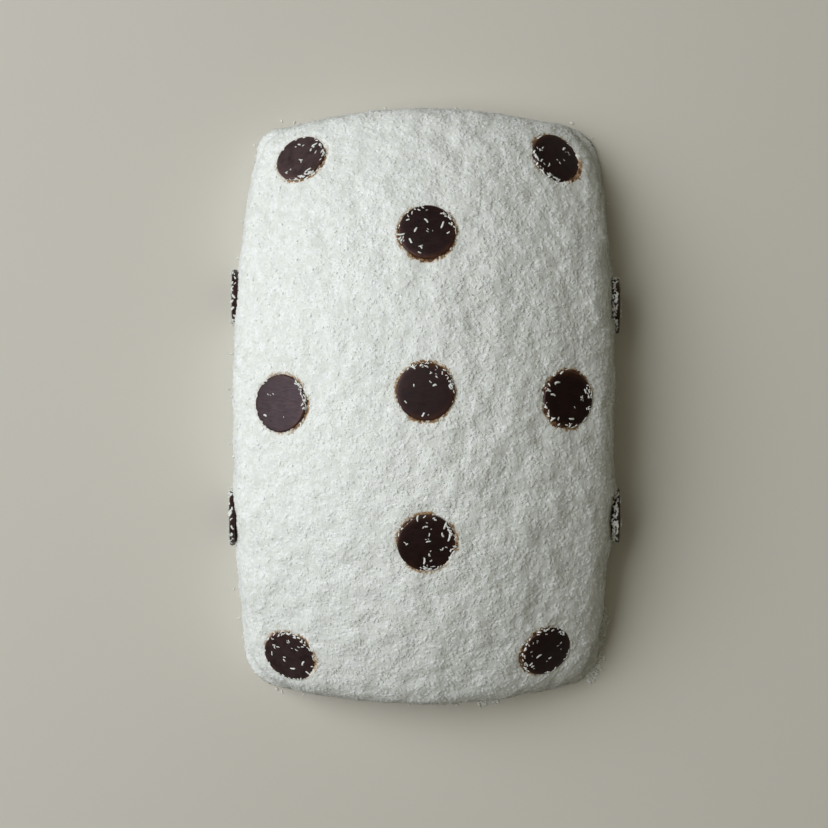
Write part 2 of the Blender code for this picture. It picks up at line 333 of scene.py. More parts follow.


# Tone patches, partly painted shade and light, and cocoa stain over a colour: beige, then amber,
# then brown
def addStain(tree, patchGroup, toneAndShadeGroup, colourFrom, shader):
    tone = addNode(tree, "ShaderNodeGroup", node_tree=toneAndShadeGroup)
    patches = addPatches(tree, patchGroup, "cocoa", stainLook["patches"])
    colours = addRamp(tree, patches, stainLook["colours"])
    cover = addNode(tree, "ShaderNodeMapRange", {"From Max": stainLook["fullAt"]},
                    interpolation_type="SMOOTHSTEP")
    mixed = addMix(tree, cover.outputs["Result"], tone.outputs["Color"], colours)
    tree.links.new(patches, cover.inputs["Value"])
    tree.links.new(colourFrom, tone.inputs["Color"])
    tree.links.new(mixed, shader.inputs["Base Color"])


def makeCream(patchGroup, toneAndShadeGroup):
    material, tree, shader = newMaterial("coconutCream", {
        "Roughness": creamLook["roughness"], "Specular IOR Level": creamLook["shine"]})
    grain = addGrain(tree, creamLook["grainSize"], 4.0, 0.65)
    colours = addRamp(tree, grain.outputs["Fac"], creamLook["grains"])
    covered = addNode(tree, "ShaderNodeAttribute", attribute_name="covered")
    depth = addNode(tree, "ShaderNodeMath", operation="MULTIPLY")
    bump = addNode(tree, "ShaderNodeBump", {"Distance": creamLook["grainDepth"]})
    mixed = addMix(tree, covered.outputs["Fac"], creamLook["colour"], colours)
    link = tree.links.new
    link(grain.outputs["Fac"], depth.inputs[0])
    link(covered.outputs["Fac"], depth.inputs[1])
    link(depth.outputs[0], bump.inputs["Height"])
    link(bump.outputs["Normal"], shader.inputs["Normal"])
    addStain(tree, patchGroup, toneAndShadeGroup, mixed, shader)
    return material


def makeCoconut(patchGroup, toneAndShadeGroup):
    material, tree, shader = newMaterial("coconutFlesh", {
        "Roughness": coconutLook["roughness"], "Specular IOR Level": coconutLook["shine"]})
    tint = addNode(tree, "ShaderNodeAttribute", attribute_name="tint")
    colours = addRamp(tree, tint.outputs["Fac"], coconutLook["colours"])
    addStain(tree, patchGroup, toneAndShadeGroup, colours, shader)
    return material


# Satin chocolate: cloudy brown, fine scratches, small pits, amber on parts of the rim, and
# painted sheen on two discs on the left
def makeChocolate(patchGroup):
    material, tree, shader = newMaterial("darkChocolate", {
        "Specular IOR Level": chocolateLook["shine"], "Specular Tint": chocolateLook["sheen"]})
    clouds = addGrain(tree, chocolateLook["cloudSize"], 5.0, 0.6)
    colours = addRamp(tree, clouds.outputs["Fac"], chocolateLook["colours"])
    rim = addPatches(tree, patchGroup, "cocoa", stainLook["patches"])
    # Painted sheen: this pale colour stands in for the window's reflection on the discs that
    # face it
    sheenPatches = addPatches(tree, patchGroup, "bloom", chocolateLook["cloudSize"])
    withSheen = addMix(tree, sheenPatches, colours, chocolateLook["bloom"])
    worn = addMix(tree, rim, withSheen, chocolateLook["edge"])
    place = addNode(tree, "ShaderNodeTexCoord")
    stretch = addNode(tree, "ShaderNodeMapping", {
        "Scale": chocolateLook["scratchSize"],
        "Rotation": (0.0, 0.0, chocolateLook["scratchTurn"])})
    scratches = addNode(tree, "ShaderNodeTexNoise", {
        "Scale": 1.0, "Detail": 2.0, "Roughness": 0.5})
    pits = addNode(tree, "ShaderNodeTexVoronoi", {"Scale": chocolateLook["pitSize"]})
    deep = addNode(tree, "ShaderNodeMapRange", {"From Max": chocolateLook["pitWidth"]})
    surface = addNode(tree, "ShaderNodeMath", {1: chocolateLook["scratchDepth"]},
                      operation="MULTIPLY_ADD")
    gloss = addNode(tree, "ShaderNodeMapRange", {
        "From Min": 0.3, "From Max": 0.7,
        "To Min": chocolateLook["roughness"][0], "To Max": chocolateLook["roughness"][1]})
    bump = addNode(tree, "ShaderNodeBump", {"Distance": chocolateLook["relief"]})
    link = tree.links.new
    link(place.outputs["Object"], stretch.inputs["Vector"])
    link(stretch.outputs["Vector"], scratches.inputs["Vector"])
    link(place.outputs["Object"], pits.inputs["Vector"])
    link(worn, shader.inputs["Base Color"])
    link(scratches.outputs["Fac"], gloss.inputs["Value"])
    link(gloss.outputs["Result"], shader.inputs["Roughness"])
    link(pits.outputs["Distance"], deep.inputs["Value"])
    link(scratches.outputs["Fac"], surface.inputs[0])
    link(deep.outputs["Result"], surface.inputs[2])
    link(surface.outputs[0], bump.inputs["Height"])
    link(bump.outputs["Normal"], shader.inputs["Normal"])
    return material


# Where cocoa has coloured the coat beside a disc: direction in degrees as seen from
# above, half width of the arc in degrees, strength

stainArcs = {
    "disc_top_left": ((-80, 60, 0.8), (-10, 40, 0.8), (205, 30, 0.5)),
    "disc_top_right": ((122, 35, 0.8), (80, 40, 0.5), (-30, 40, 0.9), (-150, 30, 0.4)),
    "disc_upper_middle": ((-75, 70, 1.0), (190, 35, 0.8), (140, 30, 0.5), (20, 35, 0.7)),
    "disc_left": ((85, 40, 0.5), (60, 30, 0.5), (-5, 25, 0.9), (-45, 30, 0.8),
                  (-85, 20, 0.4)),
    "disc_centre": ((85, 50, 0.9), (50, 30, 0.9), (-90, 45, 0.9), (-40, 40, 0.6),
                    (180, 60, 0.55), (0, 30, 0.5)),
    "disc_right": ((75, 45, 0.9), (145, 25, 0.9), (-100, 40, 0.9), (215, 30, 0.8),
                   (35, 30, 0.5)),
    "disc_lower_middle": ((125, 25, 0.9), (95, 30, 0.6), (12, 35, 0.9), (-90, 60, 0.5),
                          (165, 35, 0.5)),
    "disc_bottom_left": ((140, 30, 0.5), (105, 30, 0.5), (52, 25, 0.9), (-5, 30, 0.5)),
    "disc_bottom_right": ((108, 35, 1.0), (160, 35, 0.8), (190, 35, 0.9), (228, 30, 0.8)),
}
stain = {
    "reach": (0.0002, 0.0021),  # how far from a disc it fades out
    "arcEdge": (0.5, 1.1),      # shares of an arc's half width between which it fades
    "always": 0.20,             # strength outside the arcs
    "depth": 0.0050,            # above and below a disc's middle
    "rim": 0.0019,              # band of the disc's own edge that it colours
}


def arcStrength(name, offset):
    angle = np.degrees(np.arctan2(offset[:, 1], offset[:, 0]))
    strength = np.full(len(offset), stain["always"])
    for direction, halfWidth, value in stainArcs.get(name, ()):
        apart = np.abs((angle - direction + 180) % 360 - 180)
        arc = value * (1 - smoothStep(apart / halfWidth, *stain["arcEdge"]))
        strength = np.maximum(strength, arc)
    return strength


# Distance of points along and across the axis of a disc, and the way to them
def fromDisc(points, matrix):
    offset = points - np.array(matrix.translation)
    along = offset @ np.array(matrix.col[2].xyz)
    across = np.sqrt(np.maximum((offset ** 2).sum(1) - along ** 2, 0))
    return along, across, offset


def stainAt(points, places):
    found = np.zeros(len(points))
    for name, (matrix, radius, thickness) in places.items():
        along, across, offset = fromDisc(points, matrix)
        near = 1 - smoothStep(across - radius, *stain["reach"])
        near *= np.abs(along) < stain["depth"]
        found = np.maximum(found, near * arcStrength(name, offset))
    return found


# Chocolate discs, each on the place of its CAD disc

disc = {
    "turns": 72,
    "rings": (0.0, 0.18, 0.36, 0.54, 0.70, 0.84),   # of the face, as shares of its radius
    "rimSteps": (5, 3),         # on the rounding of the face and of the back
    "edge": 0.0009,             # radius of the rounded rim
    "crown": 0.00035,           # rise of the face towards its middle
    "wave": 0.00007,            # unevenness of the face
    "waveSize": 0.0053,
    # how much painted sheen each disc takes, standing in for the window's reflection
    "bloom": {"disc_top_left": 1.0, "disc_bottom_left": 0.5},
}


# Matrix with local +Z out of the face, radius and thickness
def placeOf(name):
    points = np.array([tuple(v.co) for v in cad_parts[name].data.vertices])
    points = np.unique(points.round(6), axis=0)
    middle = (points.max(0) + points.min(0)) / 2
    spread = points - middle
    normal = Vector(np.linalg.svd(spread, full_matrices=False)[2][2])
    if normal.dot(Vector(middle)) < 0:
        normal.negate()
    along = spread @ np.array(normal)
    radius = float(np.sqrt((spread ** 2).sum(1) - along ** 2).max())
    matrix = Matrix.Translation(middle) @ normal.to_track_quat("Z", "Y").to_matrix().to_4x4()
    return matrix, radius, float(np.ptp(along))


# Half section from the middle of the face round the rim to the middle of the back
def discSection(radius, thickness):
    edge = disc["edge"]
    half = thickness / 2
    section = []
    for share in disc["rings"]:
        section.append(((radius - edge) * share, half - disc["crown"] * share ** 2))
    top = half - disc["crown"]
    front, back = disc["rimSteps"]
    for step in range(front + 1):
        angle = math.pi / 2 * step / front
        section.append((radius - edge + edge * math.sin(angle),
                        top - edge + edge * math.cos(angle)))
    for step in range(back + 1):
        angle = math.pi / 2 * step / back
        section.append((radius - edge + edge * math.cos(angle),
                        -half + edge - edge * math.sin(angle)))
    section.append((0.0, -half))
    return section


def addDisc(name, place, material):
    matrix, radius, thickness = place
    shape = bmesh.new()
    section = [shape.verts.new((across, 0, up)) for across, up in discSection(radius, thickness)]
    edges = [shape.edges.new(pair) for pair in zip(section, section[1:])]
    bmesh.ops.spin(shape, geom=section + edges, axis=(0, 0, 1), cent=(0, 0, 0),
                   angle=2 * math.pi, steps=disc["turns"], use_merge=True)
    bmesh.ops.remove_doubles(shape, verts=shape.verts, dist=mergeGap)
    bmesh.ops.recalc_face_normals(shape, faces=shape.faces)
    for vert in shape.verts:
        if vert.co.z > 0:
            wave = noise.noise(matrix @ vert.co / disc["waveSize"])
            vert.co.z += disc["wave"] * wave
    shape.transform(matrix)
    mesh = meshFrom(shape, name + "Chocolate")
    mesh.shade_smooth()
    along, across, offset = fromDisc(numbersOf(mesh.vertices, "co"), matrix)
    rim = smoothStep(across, radius - stain["rim"], radius)
    storeValues(mesh, "cocoa", rim * arcStrength(name, offset))
    storeValues(mesh, "bloom", np.full(len(along), disc["bloom"].get(name, 0.0)))
    mesh.materials.append(material)
    return addObject(name + "Chocolate", mesh)


# Cream coat, on the form of the CAD cake

coat = {
    "voxel": 0.00125,
    "pocket": (0.0016, 0.0050), # beside and above a disc's edge, where the coat is closed
    "closing": 1200,            # rounds that span the coat over the discs' seats
    "evening": 30,              # rounds that take out the facets of the CAD cake
    "footKept": (0.002, 0.009), # heights between which the evening sets in
    "footSmooth": (0.0, 0.003), # and the lumps
    "base": 0.0001,             # what lies lower is the flat underside
    "sink": 0.0003,             # the shreds fill this depth
    "lumps": ((0.0150, 0.00070), (0.0075, 0.00058), (0.0040, 0.00030), (0.0026, 0.00010)),
    "seatEdge": 0.0009,         # the coat dips under a disc this far inside its edge
    "seatGap": 0.0003,          # and this far below its back
    "barePart": (0.80, 0.88),   # where a corner is bare, as the product of half shares
    "bareHeight": (0.006, 0.012),
}


# The middle of each point's neighbours, as a function of where the points are
def neighbourMiddles(pairs, count):
    first, second = pairs.T
    degree = np.bincount(first, minlength=count) + np.bincount(second, minlength=count)
    degree = np.maximum(degree, 1)[:, None]

    def middles(points):
        total = np.stack([
            np.bincount(first, points[second, axis], count)
            + np.bincount(second, points[first, axis], count) for axis in range(3)], 1)
        return total / degree

    return middles


# Moves each point towards the middle of its neighbours, in some rounds
def evenedOut(points, pairs, rounds):
    middles = neighbourMiddles(pairs, len(points))
    result = points.copy()
    for _ in range(rounds):
        result += (middles(result) - result) / 2
    return result


# Spans the coat over the seats of the discs
def closeSeats(points, pairs, places):
    beside, above = coat["pocket"]
    inside = np.zeros(len(points), bool)
    for matrix, radius, thickness in places.values():
        along, across, offset = fromDisc(points, matrix)
        inside |= (across < radius + beside) & (np.abs(along) < above)
    used = pairs[inside[pairs].any(1)]
    kept = np.unique(used)
    middles = neighbourMiddles(np.searchsorted(kept, used), len(kept))
    moving = inside[kept]
    part = points[kept]
    for _ in range(coat["closing"]):
        part[moving] = middles(part)[moving]
    points[kept] = part


# Lets the coat dip under each disc
def openSeats(points, places):
    for matrix, radius, thickness in places.values():
        along, across, offset = fromDisc(points, matrix)
        under = (across < radius - coat["seatEdge"]) & (np.abs(along) < coat["pocket"][1])
        low = -thickness / 2 - coat["seatGap"]
        drop = np.minimum(low - along, 0) * under
        points += drop[:, None] * np.array(matrix.col[2].xyz)


# 1 on the smooth cream left bare low on the corners, 0 elsewhere
def bareShare(points):
    low, high = np.array(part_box("cake"))
    corner = np.abs(points[:, 0] * points[:, 1]) * 4 / ((high - low)[0] * (high - low)[1])
    near = 1 - smoothStep(points[:, 2], *coat["bareHeight"])
    return smoothStep(corner, *coat["barePart"]) * near


def addCoat(places, material):
    thing = addObject("creamCoat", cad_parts["cake"].data.copy())
    weld = thing.modifiers.new("weld", "WELD")
    weld.merge_threshold = mergeGap
    blocks = thing.modifiers.new("remesh", "REMESH")
    blocks.mode = "VOXEL"
    blocks.voxel_size = coat["voxel"]
    mesh = applyAll(thing)
    points = numbersOf(mesh.vertices, "co")
    pairs = numbersOf(mesh.edges, "vertices", 2, np.int32)
    closeSeats(points, pairs, places)
    even = evenedOut(points, pairs, coat["evening"])
    even += evenedOut(points - even, pairs, coat["evening"])
    points += (even - points) * smoothStep(points[:, 2:], *coat["footKept"])
    setPoints(mesh, points)
    normals = numbersOf(mesh.vertex_normals, "vector")
    bare = bareShare(points)
    lift = np.full(len(points), -coat["sink"])
    for size, height in coat["lumps"]:
        lift += height * np.array([noise.noise(Vector(point) / size) for point in points])
    lift *= (1 - bare) * smoothStep(points[:, 2], *coat["footSmooth"])
    points += normals * lift[:, None]
    openSeats(points, places)
    points[:, 2] = np.maximum(points[:, 2], 0.0)
    setPoints(mesh, points)
    storeValues(mesh, "covered", 1 - bare)
    storeValues(mesh, "cocoa", stainAt(points, places))
    shape = bmesh.new()
    shape.from_mesh(mesh)
    base = [face for face in shape.faces if face.calc_center_median().z < coat["base"]]
    bmesh.ops.dissolve_faces(shape, faces=base)
    shape.to_mesh(mesh)
    shape.free()
    mesh.materials.clear()
    mesh.materials.append(material)
    mesh.shade_smooth()
    for polygon in mesh.polygons:
        if len(polygon.vertices) > 4:
            polygon.use_smooth = False
    print("coat:", sum(len(p.vertices) - 2 for p in mesh.polygons), "triangles")
    return thing


# Coconut shreds, scattered over the coat by Geometry Nodes

# The shreds that lie low in the coat take greyer tints than the top shreds: painted shade
# between the top grains. Within each kind the tint varies at random.
shredKinds = {
    "longShreds": {
        "count": 5500, "size": (1.0, 0.36, 0.16), "bend": 0.10, "seed": 3, "tilt": 0.07,
        "length": (0.0020, 0.0031), "lift": (-0.00014, 0.00010), "keepOff": 0.0003,
        "tint": (0.55, 0.90), "softness": 0.86},
    "shortShreds": {
        "count": 15000, "size": (1.0, 0.56, 0.24), "bend": 0.0, "seed": 11, "tilt": 0.10,
        "length": (0.0013, 0.0023), "lift": (-0.00016, 0.00004), "keepOff": 0.0003,
        "tint": (0.42, 0.75), "softness": 0.88},
    "flatChips": {
        "count": 15000, "size": (1.0, 0.78, 0.24), "bend": 0.0, "seed": 19, "tilt": 0.10,
        "length": (0.0012, 0.0021), "lift": (-0.00016, 0.00004), "keepOff": 0.0001,
        "tint": (0.42, 0.75), "softness": 0.88},
    "topShreds": {
        "count": 14500, "size": (1.0, 0.76, 0.38), "bend": 0.0, "seed": 29, "tilt": 0.22,
        "length": (0.0012, 0.0020), "lift": (0.00000, 0.00024), "keepOff": 0.0,
        "tint": (0.72, 1.0), "softness": 0.74},
    "fineCrumbs": {
        "count": 13000, "size": (1.0, 0.78, 0.45), "bend": 0.0, "seed": 37, "tilt": 0.3,
        "length": (0.0006, 0.0011), "lift": (-0.00004, 0.00012), "keepOff": 0.0,
        "tint": (0.50, 1.0), "softness": 0.80},
}
shredRules = {
    "variants": 5,
    "taper": (0.5, 0.9),        # width of one end against the other
    "jitter": 0.13,             # how far a shred's corners stray, as a share of its size
    "narrowing": (0.62, 0.90),  # its upper side against its base, across and along
    "seeds": {"rise": 5, "turn": 8, "length": 13, "pick": 21},
    "foot": (0.0004, 0.0016),   # heights between which the scatter sets in
}
bakeCell = ((0.15, 0.15), (0.85, 0.15), (0.85, 0.85), (0.15, 0.85))    # a face in its cell


# A few uneven shreds of unit length along X, with a smaller upper side
def makeVariants(kind):
    settings = shredKinds[kind]
    rng = random.Random(settings["seed"])
    group = bpy.data.collections.new(kind + "Variants")
    for index in range(shredRules["variants"]):
        shape = bmesh.new()
        bmesh.ops.create_cube(shape, size=1.0)
        if settings["bend"]:
            bmesh.ops.bisect_plane(
                shape, geom=shape.verts[:] + shape.edges[:] + shape.faces[:],
                plane_co=(0, 0, 0), plane_no=(1, 0, 0))
        taper = rng.uniform(*shredRules["taper"])
        for vert in shape.verts:
            end = vert.co.x + 0.5
            if vert.co.z > 0:
                vert.co.x *= shredRules["narrowing"][1]
                vert.co.y *= shredRules["narrowing"][0]
            stray = [rng.uniform(-1, 1) * shredRules["jitter"] for _ in range(3)]
            vert.co.y *= 1 - (1 - taper) * end
            vert.co = (vert.co + Vector(stray)) * Vector(settings["size"])
            vert.co.y += settings["bend"] * (1 - abs(2 * end - 1))
        mesh = meshFrom(shape, "%s_%d" % (kind, index))
        group.objects.link(bpy.data.objects.new(mesh.name, mesh))
    return group


# Named inputs for sizes; joined real geometry comes out
def makeScatterTree():
    tree = bpy.data.node_groups.new("coconutScatter", "GeometryNodeTree")
    link = tree.links.new
    sockets = {}
    for label, kind in (
            ("Geometry", "Geometry"), ("Variants", "Collection"), ("Discs", "Object"),
            ("Density", "Float"), ("Keep Off", "Float"), ("Shortest", "Float"),
            ("Longest", "Float"), ("Lowest", "Float"), ("Highest", "Float"),
            ("Tilt", "Float"), ("Greyest", "Float"), ("Whitest", "Float"), ("Seed", "Int"),
            ("Material", "Material")):
        sockets[label] = tree.interface.new_socket(
            label, in_out="INPUT", socket_type="NodeSocket" + kind).identifier
    tree.interface.new_socket("Geometry", in_out="OUTPUT", socket_type="NodeSocketGeometry")
    give = addNode(tree, "NodeGroupInput").outputs
    leave = addNode(tree, "NodeGroupOutput")
    seeds = shredRules["seeds"]

    # A random number between two of the tree's inputs
    def drawBetween(low, high):
        node = addNode(tree, "FunctionNodeRandomValue", data_type="FLOAT")
        link(give[low], socketNamed(node.inputs, "Min", "VALUE"))
        link(give[high], socketNamed(node.inputs, "Max", "VALUE"))
        return node, socketNamed(node.outputs, "Value", "VALUE")

    share = addNode(tree, "GeometryNodeInputNamedAttribute", {"Name": "shredShare"},
                    data_type="FLOAT")
    dense = addNode(tree, "ShaderNodeMath", operation="MULTIPLY")
    spread = addNode(tree, "GeometryNodeDistributePointsOnFaces", distribute_method="RANDOM")
    link(give["Density"], dense.inputs[0])
    link(socketNamed(share.outputs, "Attribute", "VALUE"), dense.inputs[1])
    link(give["Geometry"], spread.inputs["Mesh"])
    link(give["Seed"], spread.inputs["Seed"])
    link(dense.outputs[0], spread.inputs["Density"])

    discs = addNode(tree, "GeometryNodeObjectInfo", transform_space="ORIGINAL")
    away = addNode(tree, "GeometryNodeProximity", target_element="FACES")
    tooNear = addNode(tree, "FunctionNodeCompare", data_type="FLOAT", operation="LESS_THAN")
    drop = addNode(tree, "GeometryNodeDeleteGeometry", domain="POINT")
    link(give["Discs"], discs.inputs["Object"])
    link(discs.outputs["Geometry"], away.inputs[0])
    link(away.outputs["Distance"], tooNear.inputs[0])
    link(give["Keep Off"], tooNear.inputs[1])
    link(spread.outputs["Points"], drop.inputs["Geometry"])
    link(tooNear.outputs["Result"], drop.inputs["Selection"])

    draw, tint = drawBetween("Greyest", "Whitest")
    link(give["Seed"], draw.inputs["Seed"])
    order = addNode(tree, "GeometryNodeInputIndex")
    points = drop.outputs["Geometry"]
    for name, kind, socketKind, value in (
            ("tint", "FLOAT", "VALUE", tint),
            ("shred", "INT", "INT", order.outputs["Index"]),
            ("coatNormal", "FLOAT_VECTOR", "VECTOR", spread.outputs["Normal"])):
        keep = addNode(tree, "GeometryNodeStoreNamedAttribute", {"Name": name},
                       data_type=kind, domain="POINT")
        link(points, keep.inputs["Geometry"])
        link(value, socketNamed(keep.inputs, "Value", socketKind))
        points = keep.outputs["Geometry"]

    draw, rise = drawBetween("Lowest", "Highest")
    draw.inputs["Seed"].default_value = seeds["rise"]
    lift = addNode(tree, "ShaderNodeVectorMath", operation="SCALE")
    move = addNode(tree, "GeometryNodeSetPosition")
    link(spread.outputs["Normal"], lift.inputs[0])
    link(rise, lift.inputs["Scale"])
    link(points, move.inputs["Geometry"])
    link(lift.outputs["Vector"], move.inputs["Offset"])

    turned = addNode(tree, "FunctionNodeRandomValue", {"Seed": seeds["turn"]},
                     data_type="FLOAT_VECTOR")
    socketNamed(turned.inputs, "Min", "VECTOR").default_value = (-1, -1, -1)
    socketNamed(turned.inputs, "Max", "VECTOR").default_value = (1, 1, 1)
    lean = addNode(tree, "ShaderNodeCombineXYZ", {"Z": math.pi})
    angles = addNode(tree, "ShaderNodeVectorMath", operation="MULTIPLY")
    local = addNode(tree, "FunctionNodeEulerToRotation")
    turn = addNode(tree, "FunctionNodeRotateRotation", rotation_space="LOCAL")
    link(give["Tilt"], lean.inputs["X"])
    link(give["Tilt"], lean.inputs["Y"])
    link(socketNamed(turned.outputs, "Value", "VECTOR"), angles.inputs[0])
    link(lean.outputs["Vector"], angles.inputs[1])
    link(angles.outputs["Vector"], local.inputs["Euler"])
    link(spread.outputs["Rotation"], turn.inputs["Rotation"])
    link(local.outputs["Rotation"], turn.inputs["Rotate By"])

    shreds = addNode(tree, "GeometryNodeCollectionInfo", {
        "Separate Children": True, "Reset Children": True})
    pick = addNode(tree, "FunctionNodeRandomValue", {"Seed": seeds["pick"]}, data_type="INT")
    socketNamed(pick.inputs, "Max", "INT").default_value = shredRules["variants"] - 1
    draw, length = drawBetween("Shortest", "Longest")
    draw.inputs["Seed"].default_value = seeds["length"]
    place = addNode(tree, "GeometryNodeInstanceOnPoints", {"Pick Instance": True})
    link(give["Variants"], shreds.inputs["Collection"])
    link(move.outputs["Geometry"], place.inputs["Points"])
    link(shreds.outputs["Instances"], place.inputs["Instance"])
    link(socketNamed(pick.outputs, "Value", "INT"), place.inputs["Instance Index"])
    link(turn.outputs["Rotation"], place.inputs["Rotation"])
    link(length, place.inputs["Scale"])

    real = addNode(tree, "GeometryNodeRealizeInstances")
    dress = addNode(tree, "GeometryNodeSetMaterial")
    link(place.outputs["Instances"], real.inputs["Geometry"])
    link(real.outputs["Geometry"], dress.inputs["Geometry"])
    link(give["Material"], dress.inputs["Material"])
    link(dress.outputs["Geometry"], leave.inputs["Geometry"])
    return tree, sockets


# Number of the shred that each point belongs to
def shredOrder(mesh):
    shreds = numbersOf(mesh.attributes["shred"].data, "value", 1, np.int32)
    return np.unique(shreds, return_inverse=True)[1]


# A map with one small cell for each shred, so that its colour bakes cleanly
def addBakeMap(mesh):
    order = shredOrder(mesh)
    corners = numbersOf(mesh.loops, "vertex_index", 1, np.int32)
    totals = numbersOf(mesh.polygons, "loop_total", 1, np.int32)
    starts = numbersOf(mesh.polygons, "loop_start", 1, np.int32)
    turn = np.arange(len(corners)) - np.repeat(starts, totals)
    inCell = np.array(bakeCell)[turn % len(bakeCell)]
    grid = math.ceil(math.sqrt(order.max() + 1))
    cell = order[corners]
    spots = (np.stack([cell % grid, cell // grid], 1) + inCell) / grid
    layer = mesh.uv_layers.new(name="OFBake")
    layer.uv.foreach_set("vector", spots.astype(np.float32).ravel())


# Middle of the shred that each point belongs to
def shredMiddles(mesh):
    order = shredOrder(mesh)
    points = numbersOf(mesh.vertices, "co")
    count = np.bincount(order)
    return np.stack([np.bincount(order, points[:, axis]) / count for axis in range(3)], 1)[order]


# Shading follows the coat under the shreds by this share
def softenShading(mesh, softness):
    own = numbersOf(mesh.vertex_normals, "vector")
    under = numbersOf(mesh.attributes["coatNormal"].data, "vector")
    mixed = own + (under - own) * softness
    mixed /= np.linalg.norm(mixed, axis=1)[:, None]
    mesh.shade_smooth()
    mesh.normals_split_custom_set_from_vertices(mixed)


def addShreds(kind, ground, groundArea, discs, tree, sockets, places, material):
    settings = shredKinds[kind]
    thing = addObject(kind, ground.data.copy())
    nodes = thing.modifiers.new("scatter", "NODES")
    nodes.node_group = tree
    inputs = {
        "Variants": makeVariants(kind), "Discs": discs,
        "Density": settings["count"] / groundArea, "Keep Off": settings["keepOff"],
        "Shortest": settings["length"][0], "Longest": settings["length"][1],
        "Lowest": settings["lift"][0], "Highest": settings["lift"][1],
        "Tilt": settings["tilt"], "Greyest": settings["tint"][0],
        "Whitest": settings["tint"][1], "Seed": settings["seed"], "Material": material,
    }
    for label, value in inputs.items():
        nodes[sockets[label]] = value
    mesh = applyAll(thing)
    points = numbersOf(mesh.vertices, "co")
    points[:, 2] = np.maximum(points[:, 2], 0.0)
    setPoints(mesh, points)
    storeValues(mesh, "cocoa", stainAt(shredMiddles(mesh), places))
    addBakeMap(mesh)
    softenShading(mesh, settings["softness"])
    print(kind + ":", sum(len(p.vertices) - 2 for p in mesh.polygons), "triangles")
    return thing


# The coat as ground for shreds: none under it, none on the bare corners
def makeGround(coatThing):
    mesh = coatThing.data.copy()
    points = numbersOf(mesh.vertices, "co")
    covered = numbersOf(mesh.attributes["covered"].data, "value", 1, np.float32)
    share = covered * smoothStep(points[:, 2], *shredRules["foot"])
    storeValues(mesh, "shredShare", share)
    area = sum(face.area * share[face.vertices[0]] for face in mesh.polygons)
    return bpy.data.objects.new("ground", mesh), area


# Loose flakes

flake = {
    "rows": ((-0.5, 0.40), (-0.36, 0.86), (0.0, 1.0), (0.36, 0.90), (0.5, 0.45)),
    "sides": 6,
    "width": (0.26, 0.50),      # share of the length
    "widths": (0.00048, 0.00105),
    "shrink": 0.86,             # real length, as the lengths here take in some blur
    "thickness": 0.42,          # share of the width
    "above": 0.8,               # its middle over the ground, in half thicknesses
    "bend": 0.12,
    "jitter": 0.18,
    "tint": (0.40, 1.0),
    "dropFrom": 0.2,            # height from which it is laid down
    "seeds": {"shape": 77, "place": 51},
}


def wayAt(angle):
    return Vector((math.cos(angle), math.sin(angle), 0))


class FlakePile:
    def __init__(self, things):
        self.rng = random.Random(flake["seeds"]["shape"])
        self.shape = bmesh.new()
        self.shred = self.shape.verts.layers.int.new("shred")
        self.tint = self.shape.verts.layers.float.new("tint")
        self.cocoa = self.shape.verts.layers.float.new("cocoa")
        self.count = 0
        ground = bmesh.new()
        for thing in things:
            ground.from_mesh(thing.data)
        self.ground = BVHTree.FromBMesh(ground)
        ground.free()

    # A rounded grain lying at a place with its length along a direction
    def add(self, place, normal, direction, length, cocoa=0.0, shade=1.0):
        rng = self.rng
        width = length * rng.uniform(*flake["width"])
        width = min(max(width, flake["widths"][0]), flake["widths"][1])
        height = width * flake["thickness"]
        side = normal.cross(direction).normalized()
        along = side.cross(normal).normalized()
        bend = rng.uniform(-1, 1) * flake["bend"] * length
        length *= flake["shrink"]
        tint = rng.uniform(*flake["tint"]) * shade
        rings = []
        for share, size in flake["rows"]:
            ring = []
            for step in range(flake["sides"]):
                angle = 2 * math.pi * step / flake["sides"]
                stray = 1 + rng.uniform(-1, 1) * flake["jitter"]
                across = math.cos(angle) * width / 2 * size * stray
                up = (math.sin(angle) * size * stray + flake["above"]) * height / 2
                across += bend * (1 - 4 * share * share)
                vert = self.shape.verts.new(
                    place + along * share * length + side * across + normal * up)
                vert.co.z = max(vert.co.z, 0)
                vert[self.shred] = self.count
                vert[self.tint] = tint
                vert[self.cocoa] = cocoa
                ring.append(vert)
            rings.append(ring)
        for lower, upper in zip(rings, rings[1:]):
            for step in range(flake["sides"]):
                after = (step + 1) % flake["sides"]
                self.shape.faces.new((lower[step], lower[after], upper[after], upper[step]))
        self.shape.faces.new(rings[0][::-1])
        self.shape.faces.new(rings[-1])
        self.count += 1

    # Comes down on the cake, or beside it on the floor
    def layDown(self, x, y, degrees, length, cocoa=0.0, shade=1.0):
        start = Vector((x, y, flake["dropFrom"]))
        spot, normal, index, away = self.ground.ray_cast(start, Vector((0, 0, -1)))
        if spot is None:
            spot, normal = Vector((x, y, 0)), Vector((0, 0, 1))
        self.add(spot, normal, wayAt(math.radians(degrees)), length, cocoa, shade)


# On the discs on top, in mm from the middle as seen from above and in degrees:
# long flakes (across, up, direction, length), heaps (direction, distance, spread, count)

